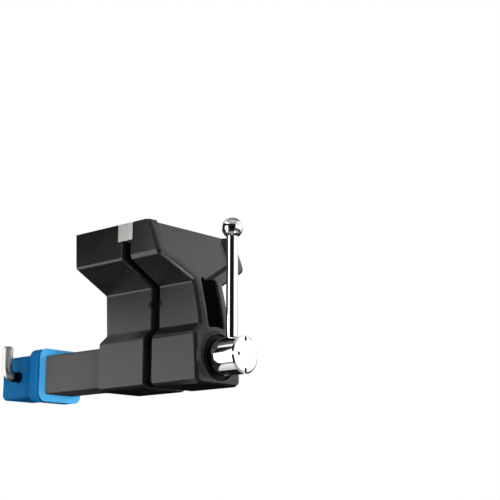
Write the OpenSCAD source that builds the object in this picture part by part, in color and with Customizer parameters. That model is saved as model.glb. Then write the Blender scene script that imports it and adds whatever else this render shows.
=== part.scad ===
// Hitch-mounted vise: two cast jaws on a square shank that sits in a hitch receiver.
// Millimetres. X runs across the jaws, Y from the handle to the receiver, Z up.
// The origin is the middle of the receiver's rear face, on the shank's axis.
// Sizes along Y in the modules count from the plane where the jaws meet.

/* [Jaw castings] */
// Width across the jaws
jaw_w = 152.4; // [120:0.1:200]
// Height of the jaw tops above the spindle axis
jaw_top = 163; // [150:0.5:185]
// Height of the jaws' upright sides
jaw_side_h = 44; // [38:0.5:54]
// Height of the sloped underside between the jaw and the neck
slope_h = 28; // [20:0.5:34]
// Width of the neck
neck_w = 52; // [44:0.5:60]
// Width of the base around the spindle
base_w = 76; // [70:0.5:90]
// Height of the top of the base above the spindle axis
base_top = 39; // [36:0.5:46]
// Height of the sloped shoulder between the base and the neck
shoulder_h = 11; // [6:0.5:14]
// Depth of the base's flat sides below the spindle axis
base_side_low = 25.5; // [22:0.5:28]
// Depth of the base's underside below the spindle axis
base_low = 32.5; // [32:0.5:40]
// Gap between the two castings with the jaws closed
casting_gap = 14.6; // [10:0.1:20]
// Distance from the meeting plane to the back of the rear casting's base
rear_reach = 88; // [80:0.5:110]
// How much farther back the rear casting leans at its top
rear_lean = 6.5; // [0:0.5:9]
// Distance from the meeting plane to the front of the front casting's base
front_reach = 83.5; // [80:0.5:110]
// Radius of the front casting's bowed face
front_bow_r = 436; // [380:1:600]
// Rounding of the rear jaw's lower corners
rear_jaw_round = 4; // [1:0.5:8]
// Rounding of the front jaw's lower corners
front_jaw_round = 8; // [1:0.5:12]
// Rounding in the corners between jaw, neck and base
casting_round = 3; // [1:0.5:6]

/* [Front face] */
// How far the front panel lies below the rim round it
panel_deep = 6; // [2:0.5:8]
// Width of the rim between the panel and the casting's edge
panel_margin = 14.5; // [10:0.5:20]
// Width of the pocket between the two ribs of the neck
pocket_w = 27; // [18:0.5:32]
// How far the pocket runs up past the panel's foot
pocket_lap = 1; // [0.5:0.5:4]
// Thickness of the web behind the pocket
pocket_web = 28; // [18:0.5:36]
// Radius of the arched boss below the pocket
boss_r = 38.5; // [36:0.5:44]

/* [Jaw plates] */
// Thickness of the rear jaw plate
plate_t = 15; // [12:0.1:20]
// Thickness of the front jaw plate
front_plate_t = 10.5; // [10:0.1:20]
// Height of a jaw plate
plate_h = 21.5; // [18:0.5:30]
// Gap left between the plates with the jaws closed
plate_gap = 0.3; // [0.1:0.1:1]
// Diameter of a jaw plate screw
plate_screw_d = 8; // [6:0.5:10]
// Distance of a jaw plate screw from the middle
plate_screw_x = 46; // [30:1:55]
// Length of a jaw plate screw
plate_screw_len = 30; // [26:1:34]

/* [Pipe jaws] */
// Height of a pipe jaw bar
pipe_jaw_h = 7.5; // [6:0.5:12]
// Depth of a pipe jaw bar in its slot
pipe_jaw_t = 4.5; // [4:0.5:7]
// Height of the pipe jaws' middle above the spindle axis
pipe_jaw_z = 70.5; // [60:0.5:80]
// Diameter of a pipe jaw screw
pipe_screw_d = 3; // [2.5:0.5:4]
// Distance of a pipe jaw screw from the middle
pipe_screw_x = 14; // [8:0.5:17]
// Length of a pipe jaw screw
pipe_screw_len = 14; // [10:0.5:18]

/* [Shank and slide] */
// Width of the square shank
shank_w = 50.8; // [50:0.1:52]
// Wall of the shank tube
shank_wall = 6.3; // [5:0.1:7]
// Rounding of the shank's long edges
shank_round = 3; // [1:0.5:5]
// Length of shank that shows between the casting and the receiver
shank_show = 120; // [90:1:160]
// Length of shank past the hitch pin
shank_past_pin = 27; // [20:1:30]
// Wall of the slide beam
beam_wall = 6; // [5:0.5:7]
// Running clearance round the slide beam
beam_clear = 0.35; // [0.2:0.05:0.8]
// Most that the jaws open
jaw_travel = 146; // [100:1:150]
// Length of beam left in its guide with the jaws wide open
guide_left = 62; // [50:1:66]
// Length of beam held in the front casting
beam_seat = 32; // [28:0.5:36]
// Diameter of a beam screw
beam_screw_d = 4; // [3:0.5:5]
// Length of a beam screw
beam_screw_len = 24; // [20:0.5:26]

/* [Spindle] */
// Diameter of the screw's thread
thread_d = 18; // [16:0.5:19]
// Advance of the screw in one turn
thread_lead = 6; // [4:0.5:8]
// Depth of the thread
thread_deep = 1.6; // [1:0.1:2]
// Diameter of the spindle's journal
journal_d = 22; // [20:0.5:24]
// Outer diameter of the bush
bush_d = 28; // [26:0.5:30]
// Diameter of the spindle head
head_d = 45; // [40:0.5:50]
// How far the spindle head stands out of the front casting
head_out = 41.5; // [34:0.5:50]
// Distance of the handle bar's axis from the front casting's face
bar_out = 19.9; // [17:0.1:23]
// Edge break of the spindle head's face
head_edge = 1.6; // [0.5:0.1:3]
// Width of the slots in the head's face
slot_w = 4; // [3:0.5:6]
// Depth of the slots in the head's face
slot_deep = 2.5; // [1:0.1:4]
// Distance from the axis to the inner end of a slot
slot_in = 12; // [8:0.5:16]
// Diameter of the recess round the spindle head
recess_d = 57; // [54:0.5:62]
// Depth of the recess round the spindle head
recess_deep = 5.5; // [5:0.5:9]
// Outer diameter of the thrust washer
washer_d = 54; // [48:0.5:56]
// Thickness of the thrust washer
washer_t = 3; // [2:0.1:4]
// Thickness of the casting wall that carries the spindle
bearing_wall = 20; // [16:0.5:24]
// Diameter of the retaining collar
keeper_d = 34; // [32:0.5:36]
// Length of the retaining collar
keeper_len = 12; // [8:0.5:14]
// Metal left between the screw's spigot and the handle bar's hole
spigot_wall = 3; // [2:0.5:4]
// Step from the journal down to the spigot, on the radius
spigot_step = 3; // [2:0.5:4]
// Length of screw left past the nut with the jaws wide open
screw_spare = 9; // [6:0.5:12]
// Diameter of the cross pins
cross_pin_d = 4; // [3:0.5:5]
// Running clearance between round parts, on the radius
run_clear = 0.05; // [0.02:0.01:0.08]
// Clearance along the spindle at its shoulders
end_clear = 0.3; // [0.1:0.05:0.5]
// Length of the spindle nut
nut_len = 38; // [30:1:44]
// Distance of the spindle nut behind the rear casting's face
nut_inset = 5; // [3:0.5:10]
// Clearance above the spindle nut in the slide beam
nut_room = 1.35; // [0.8:0.05:2]
// Diameter of a nut screw
nut_screw_d = 6; // [5:0.5:8]
// Length of a nut screw
nut_screw_len = 21; // [18:0.5:22]
// Distance between the two nut screws
nut_screw_gap = 22; // [16:1:24]
// Thickness of the stop washer on the end of the screw
stop_t = 3; // [2:0.5:5]
// Diameter of the stop washer
stop_d = 24; // [22:0.5:25]
// Diameter of the end screw
end_screw_d = 8; // [6:0.5:10]

/* [Handle] */
// Diameter of the handle bar
bar_d = 14; // [12:0.5:16]
// Height of the ball's middle above the spindle axis
ball_z = 154; // [120:0.5:170]
// Diameter of the ball
ball_d = 25.4; // [20:0.1:32]
// Depth that the bar screws into the ball
ball_socket = 9; // [6:0.5:10]
// Diameter of the handle stop
bar_stop_d = 18; // [16.5:0.5:20]
// Thickness of the handle stop
bar_stop_t = 4; // [3:0.5:5]
// How far the handle stop sits inside the spindle head
bar_stop_in = 1.5; // [0.5:0.5:3]
// Clearance round the handle stop in the spindle head
bar_stop_clear = 0.5; // [0.2:0.1:0.8]

/* [Receiver and pin] */
// Length of the receiver from mouth to rear face
receiver_len = 88; // [80:1:140]
// Wall of the receiver tube
receiver_wall = 3.2; // [3:0.1:6.5]
// Rounding of the receiver tube's long edges
receiver_round = 7; // [4:0.5:9]
// Clearance between the shank and the receiver
receiver_clear = 0.4; // [0.2:0.05:0.8]
// Width of the collar
collar_w = 71; // [68:0.5:80]
// Length of the collar
collar_len = 26; // [18:0.5:32]
// Length of the collar's front lip
lip_len = 7.5; // [5:0.5:10]
// How far the lip stands out past the collar's rear band
lip_step = 0.8; // [0.4:0.1:2]
// Rounding of the collar's corners
collar_round = 11; // [8:0.5:14]
// Distance of the hitch pin behind the receiver's mouth
pin_back = 54; // [46:0.5:58]
// Diameter of the hitch pin
pin_d = 14; // [12:0.1:16]
// Distance of the pin's leg from the shank axis
leg_out = 48.5; // [46:0.5:60]
// Height of the leg's end above the pin axis
leg_top = 40; // [30:0.5:90]
// Radius of the pin's bend along its middle
bend_r = 12; // [10:0.5:14]
// How far the pin stands out past the receiver's far side
pin_out = 24; // [20:0.5:40]
// Distance of the clip from the pin's far end
clip_back = 9; // [7:0.5:12]
// Diameter of the clip wire
clip_d = 3.5; // [3:0.1:4]
// Clearance round the clip wire in the pin
clip_clear = 0.25; // [0.15:0.05:0.5]
// Radius of the clip's bends beside the pin
clip_bend_r = 4; // [3.5:0.5:6]
// Radius of the clip's eye
clip_eye_r = 7; // [6:0.5:9]
// Half of the angle over which the clip hugs the pin
clip_hug = 45; // [40:1:55]
// Angle by which the clip's free end flares out
clip_flare = 30; // [15:1:45]
// Length of the clip's straight leg below the pin axis
clip_leg = 26; // [20:0.5:34]

/* [Hidden] */
$fn = 96;

// Small allowance by which a cut runs past a face
past = 1;
// Clearance round screws and pins that are fixed in their holes, on the radius
fix_clear = 0.05;
// Points along a rounded corner of a casting
round_steps = 6;
// How far the ends of the cross pins sit below the surface
pin_sunk = 1;
// Width of a hexagon socket against its screw's diameter
socket_share = 0.7;
// Places of a thread ridge's four corners within one lead
ridge_places = [0.15, 0.3, 0.7, 0.85];

half_gap = casting_gap / 2;
jaw_low = jaw_top - jaw_side_h;
neck_top = jaw_low - slope_h;
shoulder_low = base_top - shoulder_h;
mouth_y = rear_reach + shank_show;
receiver_end = mouth_y + receiver_len;
pin_y = mouth_y + pin_back;
shank_end = pin_y + shank_past_pin;
shank_in = shank_w - 2 * shank_wall;
beam_w = shank_in - 2 * beam_clear;
beam_in = beam_w - 2 * beam_wall;
beam_front = -half_gap - beam_seat;
beam_back = half_gap + jaw_travel + guide_left;
head_front = -front_reach - head_out;
recess_floor = -front_reach + recess_deep;
head_back = recess_floor - washer_t;
wall_back = recess_floor + bearing_wall;
bar_y = -front_reach - bar_out;
nut_front = half_gap + nut_inset;
nut_back = nut_front + nut_len;
nut_w = beam_in - 2 * beam_clear;
nut_top = beam_in / 2 - nut_room;
screw_back = nut_back + jaw_travel + screw_spare;
spigot_d = journal_d - 2 * spigot_step;
spigot_len = head_back - bar_y - bar_d / 2 - spigot_wall;
bar_low = -head_d / 2 + bar_stop_t + bar_stop_in;
receiver_in = shank_w + 2 * receiver_clear;
receiver_out = receiver_in + 2 * receiver_wall;
pin_far = receiver_out / 2 + pin_out;
clip_x = pin_far - clip_back;
bow_y = -front_reach + front_bow_r;
bow_z = -base_low;
slope = slope_h / ((jaw_w - neck_w) / 2);
panel_rise = panel_margin / cos(atan(slope));

// Moves a piece from the meeting plane of the jaws to the receiver's rear face
module seat() {
    translate([0, -receiver_end, 0]) children();
}

// Extrudes an outline of X and Z between two places along Y
module along_y(y0, y1) {
    translate([0, y1, 0]) rotate([90, 0, 0]) linear_extrude(y1 - y0) children();
}

// Round bar along Y
module rod_y(y0, y1, d) {
    translate([0, y0, 0]) rotate([-90, 0, 0]) cylinder(h = y1 - y0, d = d);
}

// Round bar along X
module rod_x(x0, x1, d) {
    translate([x0, 0, 0]) rotate([0, 90, 0]) cylinder(h = x1 - x0, d = d);
}

// Square with rounded corners, about its middle
module round_square(w, r) {
    square([w - 2 * r, w], center = true);
    square([w, w - 2 * r], center = true);
    for (sx = [-1, 1], sz = [-1, 1])
        translate([sx * (w / 2 - r), sz * (w / 2 - r)]) circle(r = r);
}

// Socket screw with a conical head, pointing along -Z, its head flush at Z = 0
module flat_screw(d, len) {
    difference() {
        union() {
            translate([0, 0, -len]) cylinder(h = len - d / 4, d = d);
            translate([0, 0, -d / 2 - d / 4]) cylinder(h = d / 2, d1 = d, d2 = 2 * d);
            translate([0, 0, -d / 4]) cylinder(h = d / 4, d = 2 * d);
        }
        translate([0, 0, -d / 2]) cylinder(h = d / 2 + past, d = d * socket_share, $fn = 6);
    }
}

// Hole for a flat screw
module flat_hole(d, len) {
    c = fix_clear;
    translate([0, 0, -len - past]) cylinder(h = len + past, d = d + 2 * c);
    translate([0, 0, -d / 2 - d / 4 - c]) cylinder(h = d / 2 + c, d1 = d + 2 * c, d2 = 2 * d + 4 * c);
    translate([0, 0, -d / 4 - c]) cylinder(h = d / 4 + c + past, d = 2 * d + 4 * c);
}

// Rounds one corner of an outline, from the points before and after it
function unit(v) = v / norm(v);
function corner(a, b, c, r) =
    let (u = unit(a - b), v = unit(c - b), half = acos(u * v) / 2)
    let (middle = b + unit(u + v) * r / sin(half), start = b + u * r / tan(half), end = b + v * r / tan(half))
    [for (i = [0 : round_steps])
        let (chord = start + (end - start) * i / round_steps)
        middle + unit(chord - middle) * r];

// Rounds every corner of a closed outline, given as [x, z, radius]
function rounded(p) =
    let (n = len(p))
    [for (i = [0 : n - 1])
        let (b = [p[i][0], p[i][1]], before = p[(i + n - 1) % n], after = p[(i + 1) % n])
        each (p[i][2] > 0
            ? corner([before[0], before[1]], b, [after[0], after[1]], p[i][2])
            : [b])];

// Half of a casting's outline from the top to the underside, as [x, z, radius]
function half_outline(jaw_round) = [
    [jaw_w / 2, jaw_top, 0],
    [jaw_w / 2, jaw_low, jaw_round],
    [neck_w / 2, neck_top, casting_round],
    [neck_w / 2, base_top, casting_round],
    [base_w / 2, shoulder_low, casting_round],
    [base_w / 2, -base_side_low, 0],
    [base_w / 2 - (base_low - base_side_low) / 4, -(base_side_low + base_low) / 2, 0],
    [base_w / 2 - (base_low - base_side_low), -base_low, 0]];

// Whole outline of a casting, seen along Y
module casting_outline(jaw_round) {
    right = half_outline(jaw_round);
    count = len(right);
    left = [for (i = [count - 1 : -1 : 0]) [-right[i][0], right[i][1], right[i][2]]];
    polygon(rounded(concat(right, left)));
}

// Thickness of the jaw plate on the side of Y given by dir
function plate_depth(dir) = dir < 0 ? front_plate_t : plate_t;

// Cuts for a jaw plate, a pipe jaw and their screws, on the side of Y given by dir
module jaw_cuts(dir) {
    mirror([0, dir < 0 ? 1 : 0, 0]) {
        translate([-jaw_w / 2 - past, half_gap - past, jaw_top - plate_h])
            cube([jaw_w + 2 * past, plate_depth(dir) + plate_gap / 2 - half_gap + past, plate_h + past]);
        translate([-jaw_w / 2 - past, half_gap - past, pipe_jaw_z - pipe_jaw_h / 2])
            cube([jaw_w + 2 * past, pipe_jaw_t + past, pipe_jaw_h]);
        for (s = [-1, 1]) {
            translate([s * plate_screw_x, plate_gap / 2, jaw_top - plate_h / 2])
                rotate([90, 0, 0]) flat_hole(plate_screw_d, plate_screw_len);
            translate([s * pipe_screw_x, half_gap, pipe_jaw_z])
                rotate([90, 0, 0]) flat_hole(pipe_screw_d, pipe_screw_len);
        }
    }
}

// Hardened jaw plate on the side of Y given by dir
module jaw_plate(dir) {
    mirror([0, dir < 0 ? 1 : 0, 0]) difference() {
        translate([-jaw_w / 2, plate_gap / 2, jaw_top - plate_h]) cube([jaw_w, plate_depth(dir), plate_h]);
        for (s = [-1, 1])
            translate([s * plate_screw_x, plate_gap / 2, jaw_top - plate_h / 2])
                rotate([90, 0, 0]) flat_hole(plate_screw_d, plate_screw_len);
    }
}

// Jaw plate screws on the side of Y given by dir
module plate_screws(dir) {
    mirror([0, dir < 0 ? 1 : 0, 0])
        for (s = [-1, 1])
            translate([s * plate_screw_x, plate_gap / 2, jaw_top - plate_h / 2])
                rotate([90, 0, 0]) flat_screw(plate_screw_d, plate_screw_len);
}

// Pipe jaw bar on the side of Y given by dir
module pipe_jaw(dir) {
    mirror([0, dir < 0 ? 1 : 0, 0]) difference() {
        translate([-neck_w / 2, half_gap, pipe_jaw_z - pipe_jaw_h / 2])
            cube([neck_w, pipe_jaw_t, pipe_jaw_h]);
        for (s = [-1, 1])
            translate([s * pipe_screw_x, half_gap, pipe_jaw_z])
                rotate([90, 0, 0]) flat_hole(pipe_screw_d, pipe_screw_len);
    }
}

// Pipe jaw screws on the side of Y given by dir
module pipe_screws(dir) {
    mirror([0, dir < 0 ? 1 : 0, 0])
        for (s = [-1, 1])
            translate([s * pipe_screw_x, half_gap, pipe_jaw_z])
                rotate([90, 0, 0]) flat_screw(pipe_screw_d, pipe_screw_len);
}

// Places along Y of the two nut screws
nut_screw_y = [for (s = [-1, 1]) (nut_front + nut_back) / 2 + s * nut_screw_gap / 2];

// Places in X and Y of the four beam screws
beam_screw_xy = [for (sx = [-1, 1], part = [0.25, 0.75])
    [sx * (beam_w - beam_wall) / 2, -half_gap - part * beam_seat]];

module static_jaw() {
    color("#2b2b2d") seat() difference() {
        intersection() {
            along_y(half_gap, rear_reach + rear_lean) casting_outline(rear_jaw_round);
            rotate([90, 0, 90]) linear_extrude(jaw_w + 2 * past, center = true)
                polygon([[0, -base_low - past], [rear_reach, -base_low - past], [rear_reach, base_top],
                         [rear_reach + rear_lean, jaw_top + past], [0, jaw_top + past]]);
        }
        jaw_cuts(1);
        along_y(half_gap - past, rear_reach + rear_lean) square(shank_w, center = true);
        for (y = nut_screw_y)
            translate([0, y, -base_low]) rotate([180, 0, 0]) flat_hole(nut_screw_d, nut_screw_len);
    }
}

module hitch_shank() {
    color("#2f2f31") seat() difference() {
        along_y(half_gap, shank_end) round_square(shank_w, shank_round);
        along_y(half_gap - past, shank_end + past) square(shank_in, center = true);
        translate([0, pin_y, 0]) rod_x(-shank_w, shank_w, pin_d + 2 * run_clear);
        for (y = nut_screw_y)
            translate([0, y, -base_low]) rotate([180, 0, 0]) flat_hole(nut_screw_d, nut_screw_len);
    }
}

module rear_jaw_plate() {
    color("#b5b5b3") seat() jaw_plate(1);
}

module rear_plate_screws() {
    color("#3a3a3c") seat() plate_screws(1);
}

module rear_pipe_jaw() {
    color("#1c1c1e") seat() pipe_jaw(1);
}

module rear_pipe_screws() {
    color("#3a3a3c") seat() pipe_screws(1);
}

module spindle_nut() {
    color("#b08d4a") seat() difference() {
        translate([-nut_w / 2, nut_front, -shank_in / 2]) cube([nut_w, nut_len, shank_in / 2 + nut_top]);
        rod_y(nut_front - past, nut_back + past, thread_d + 2 * run_clear);
        for (y = nut_screw_y)
            translate([0, y, -base_low]) rotate([180, 0, 0]) flat_hole(nut_screw_d, nut_screw_len);
    }
}

module nut_screws() {
    color("#3a3a3c") seat()
        for (y = nut_screw_y)
            translate([0, y, -base_low]) rotate([180, 0, 0]) flat_screw(nut_screw_d, nut_screw_len);
}

module receiver_tube() {
    color("#1f6fb0") seat() difference() {
        along_y(mouth_y + lip_len, receiver_end) round_square(receiver_out, receiver_round);
        along_y(mouth_y, receiver_end + past)
            round_square(receiver_in, max(receiver_round - receiver_wall, shank_round / 2));
        translate([0, pin_y, 0]) rod_x(-collar_w, collar_w, pin_d + 2 * run_clear);
    }
}

module receiver_collar() {
    color("#2b86cc") seat() difference() {
        union() {
            along_y(mouth_y, mouth_y + lip_len) round_square(collar_w, collar_round);
            along_y(mouth_y + lip_len, mouth_y + collar_len)
                round_square(collar_w - 2 * lip_step, collar_round - lip_step);
        }
        along_y(mouth_y - past, mouth_y + lip_len + past)
            round_square(receiver_in, max(receiver_round - receiver_wall, shank_round / 2));
        along_y(mouth_y + lip_len, mouth_y + collar_len + past) round_square(receiver_out, receiver_round);
    }
}

// Lower edge of the front panel at a distance x from the middle
function panel_low(x) = neck_top + panel_rise + (x - neck_w / 2) * slope;

// Front panel's outline: a shield with a pointed foot, open at the top
module panel_outline() {
    side = jaw_w / 2 - panel_margin;
    top = jaw_top + past;
    polygon([[-side, top], [-side, panel_low(side)], [0, panel_low(0)],
             [side, panel_low(side)], [side, top]]);
}

// Pocket between the ribs, from the arched boss up to the panel's foot
module pocket_outline() {
    side = pocket_w / 2;
    difference() {
        polygon([[-side, 0], [side, 0], [side, panel_low(side) + pocket_lap], [0, panel_low(0) + pocket_lap],
                 [-side, panel_low(side) + pocket_lap]]);
        circle(r = boss_r);
    }
}

// Solid behind the bowed front face, moved back by deep
module behind_bow(deep) {
    translate([-jaw_w, bow_y, bow_z]) rotate([0, 90, 0])
        cylinder(h = 2 * jaw_w, r = front_bow_r - deep, $fn = 240);
}

module front_jaw() {
    color("#2b2b2d") seat() difference() {
        intersection() {
            along_y(-front_reach - past, -half_gap) casting_outline(front_jaw_round);
            behind_bow(0);
        }
        difference() {
            along_y(-front_reach - 2 * past, -half_gap) panel_outline();
            behind_bow(panel_deep);
        }
        jaw_cuts(-1);
        along_y(-front_reach - 2 * past, -half_gap - pocket_web) pocket_outline();
        rod_y(-front_reach - past, recess_floor, recess_d);
        rod_y(recess_floor - past, wall_back + past, bush_d + 2 * fix_clear);
        along_y(wall_back, -half_gap + past) square(shank_in, center = true);
        for (p = beam_screw_xy)
            translate([p[0], p[1], -base_low]) rotate([180, 0, 0]) flat_hole(beam_screw_d, beam_screw_len);
    }
}

// Channel that carries the front jaw in the shank: open below for the nut
module slide_beam() {
    color("#6f7073") seat() difference() {
        translate([-beam_w / 2, beam_front, -beam_w / 2]) cube([beam_w, beam_back - beam_front, beam_w]);
        translate([-beam_in / 2, beam_front - past, -beam_w / 2 - past])
            cube([beam_in, beam_back - beam_front + 2 * past, beam_w / 2 + beam_in / 2 + past]);
        for (p = beam_screw_xy)
            translate([p[0], p[1], -base_low]) rotate([180, 0, 0]) flat_hole(beam_screw_d, beam_screw_len);
    }
}

module beam_screws() {
    color("#3a3a3c") seat()
        for (p = beam_screw_xy)
            translate([p[0], p[1], -base_low]) rotate([180, 0, 0]) flat_screw(beam_screw_d, beam_screw_len);
}

module front_jaw_plate() {
    color("#b5b5b3") seat() jaw_plate(-1);
}

module front_plate_screws() {
    color("#3a3a3c") seat() plate_screws(-1);
}

module front_pipe_jaw() {
    color("#1c1c1e") seat() pipe_jaw(-1);
}

module front_pipe_screws() {
    color("#3a3a3c") seat() pipe_screws(-1);
}

module spindle_bush() {
    color("#b08d4a") seat() difference() {
        rod_y(recess_floor, wall_back, bush_d);
        rod_y(recess_floor - past, wall_back + past, journal_d + 2 * run_clear);
    }
}

module thrust_washer() {
    color("#1c1c1e") seat() difference() {
        rod_y(head_back + end_clear, recess_floor, washer_d);
        rod_y(head_back - past, recess_floor + past, journal_d + 2 * run_clear);
    }
}

// Screw with its journal and spigot; the thread is a row of ridges one lead apart
module spindle_screw() {
    root_r = thread_d / 2 - thread_deep;
    thread_front = beam_front;
    turns = floor((screw_back - thread_front) / thread_lead);
    ridges = [for (i = [0 : turns - 1])
        let (at = [for (p = ridge_places) thread_front + (i + p) * thread_lead])
        each [[root_r, at[0]], [thread_d / 2, at[1]], [thread_d / 2, at[2]], [root_r, at[3]]]];
    shoulder = wall_back + end_clear;
    color("#7c7d80") seat() difference() {
        rotate([-90, 0, 0]) rotate_extrude() polygon(concat(
            [[0, head_back - spigot_len], [spigot_d / 2, head_back - spigot_len], [spigot_d / 2, head_back],
             [journal_d / 2, head_back], [journal_d / 2, shoulder], [thread_d / 2, shoulder],
             [thread_d / 2, thread_front], [root_r, thread_front]],
            ridges,
            [[root_r, screw_back], [0, screw_back]]));
        head_pin_hole();
        collar_pin_hole();
        rod_y(screw_back - 2 * end_screw_d, screw_back + past, end_screw_d + 2 * fix_clear);
    }
}

// Cross pin's hole through the head and the screw's spigot
module head_pin_hole() {
    translate([0, head_back - spigot_len / 2, 0])
        rod_x(-head_d, head_d, cross_pin_d + 2 * fix_clear);
}

// Cross pin's hole through the retaining collar and the screw
module collar_pin_hole() {
    translate([0, wall_back + end_clear + keeper_len / 2, 0])
        rod_x(-keeper_d, keeper_d, cross_pin_d + 2 * fix_clear);
}

module spindle_head() {
    color("#e4e4e6") seat() difference() {
        rotate([-90, 0, 0]) rotate_extrude() polygon([
            [0, head_front], [head_d / 2 - head_edge, head_front], [head_d / 2, head_front + head_edge],
            [head_d / 2, head_back], [0, head_back]]);
        rod_y(head_back - spigot_len - fix_clear, head_back + past, spigot_d + 2 * fix_clear);
        head_pin_hole();
        translate([0, bar_y, -head_d]) cylinder(h = 2 * head_d, d = bar_d + 2 * run_clear);
        translate([0, bar_y, -head_d])
            cylinder(h = head_d + bar_low + end_clear, d = bar_stop_d + 2 * bar_stop_clear);
        for (a = [0 : 90 : 270])
            rotate([0, a, 0]) {
                translate([slot_in, head_front - past, -slot_w / 2]) cube([head_d, slot_deep + past, slot_w]);
                translate([slot_in, 0, 0]) rod_y(head_front - past, head_front + slot_deep, slot_w);
            }
    }
}

module head_pin() {
    color("#3a3a3c") seat() translate([0, head_back - spigot_len / 2, 0])
        rod_x(-head_d / 2 + pin_sunk, head_d / 2 - pin_sunk, cross_pin_d);
}

module retaining_collar() {
    color("#3a3a3c") seat() difference() {
        rod_y(wall_back + end_clear, wall_back + end_clear + keeper_len, keeper_d);
        rod_y(wall_back - past, wall_back + keeper_len + 2 * past, thread_d + 2 * fix_clear);
        collar_pin_hole();
    }
}

module collar_pin() {
    color("#6f7073") seat() translate([0, wall_back + end_clear + keeper_len / 2, 0])
        rod_x(-keeper_d / 2 + pin_sunk, keeper_d / 2 - pin_sunk, cross_pin_d);
}

module stop_washer() {
    color("#6f7073") seat() difference() {
        rod_y(screw_back, screw_back + stop_t, stop_d);
        rod_y(screw_back - past, screw_back + stop_t + past, end_screw_d + 2 * fix_clear);
    }
}

module end_screw() {
    color("#3a3a3c") seat() difference() {
        union() {
            rod_y(screw_back - 2 * end_screw_d + past, screw_back + stop_t, end_screw_d);
            rod_y(screw_back + stop_t, screw_back + stop_t + end_screw_d, 1.5 * end_screw_d);
        }
        translate([0, screw_back + stop_t + end_screw_d / 2, 0]) rotate([-90, 0, 0])
            cylinder(h = end_screw_d, d = end_screw_d * socket_share, $fn = 6);
    }
}

module handle_bar() {
    color("#e4e4e6") seat() translate([0, bar_y, bar_low])
        cylinder(h = ball_z - ball_d / 2 + ball_socket - bar_low, d = bar_d);
}

module handle_ball() {
    color("#e4e4e6") seat() translate([0, bar_y, ball_z]) difference() {
        sphere(d = ball_d);
        translate([0, 0, -ball_d]) cylinder(h = ball_d / 2 + ball_socket, d = bar_d + 2 * fix_clear);
    }
}

module handle_stop() {
    color("#3a3a3c") seat() translate([0, bar_y, bar_low - bar_stop_t])
        cylinder(h = bar_stop_t, d = bar_stop_d);
}

// Bent pin: the straight part along X, the bend, and the leg standing up on the near side
module hitch_pin() {
    bend_x = -leg_out + bend_r;
    edge = pin_d / 8;
    color("#c9c9c7") seat() translate([0, pin_y, 0]) difference() {
        union() {
            rod_x(bend_x, pin_far - edge, pin_d);
            translate([pin_far - edge, 0, 0]) rotate([0, 90, 0])
                cylinder(h = edge, d1 = pin_d, d2 = pin_d - 2 * edge);
            translate([bend_x, 0, bend_r]) rotate([90, 0, 0])
                rotate([0, 0, 180]) rotate_extrude(angle = 90) translate([bend_r, 0]) circle(d = pin_d);
            translate([-leg_out, 0, bend_r]) cylinder(h = leg_top - bend_r - edge, d = pin_d);
            translate([-leg_out, 0, leg_top - edge]) cylinder(h = edge, d1 = pin_d, d2 = pin_d - 2 * edge);
        }
        translate([clip_x, 0, -pin_d]) cylinder(h = 2 * pin_d, d = clip_d + 2 * clip_clear);
    }
}

// Arc of clip wire in the Y-Z plane about a middle point, from one angle through a sweep
module wire_arc(y, z, r, from, sweep) {
    translate([0, y, z]) rotate([90, 0, 90]) rotate([0, 0, from])
        rotate_extrude(angle = sweep) translate([r, 0]) circle(d = clip_d);
}

// Spring clip: a straight leg through the pin, an eye above, and a leg that bows round the pin
module hitch_clip() {
    hug_r = pin_d / 2 + clip_d / 2 + clip_clear;
    neck_c = (hug_r + clip_bend_r) * sin(clip_hug);
    leg_y = neck_c - clip_bend_r;
    eye_foot = neck_c + 2 * clip_d;
    eye_z = eye_foot + sqrt(clip_eye_r * clip_eye_r - leg_y * leg_y / 4);
    eye_gap = asin(leg_y / 2 / clip_eye_r);
    color("#b9b9b7") seat() translate([clip_x, pin_y, 0]) {
        translate([0, 0, -clip_leg]) cylinder(h = clip_leg + eye_foot, d = clip_d);
        translate([0, 0, eye_foot]) sphere(d = clip_d);
        wire_arc(leg_y / 2, eye_z, clip_eye_r, eye_gap - 90, 360 - 2 * eye_gap);
        translate([0, leg_y, eye_foot]) sphere(d = clip_d);
        translate([0, leg_y, neck_c]) cylinder(h = eye_foot - neck_c, d = clip_d);
        wire_arc(neck_c, neck_c, clip_bend_r, 180, clip_hug);
        wire_arc(0, 0, hug_r, -clip_hug, 2 * clip_hug);
        wire_arc(neck_c, -neck_c, clip_bend_r, 180 - clip_hug, clip_hug + clip_flare);
    }
}

static_jaw();
hitch_shank();
rear_jaw_plate();
rear_plate_screws();
rear_pipe_jaw();
rear_pipe_screws();
spindle_nut();
nut_screws();
receiver_tube();
receiver_collar();
front_jaw();
slide_beam();
beam_screws();
front_jaw_plate();
front_plate_screws();
front_pipe_jaw();
front_pipe_screws();
spindle_bush();
thrust_washer();
spindle_screw();
spindle_head();
head_pin();
retaining_collar();
collar_pin();
stop_washer();
end_screw();
handle_bar();
handle_ball();
handle_stop();
hitch_pin();
hitch_clip();
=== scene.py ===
"""Looks of a hitch-mounted vise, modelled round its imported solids."""
import math

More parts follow.
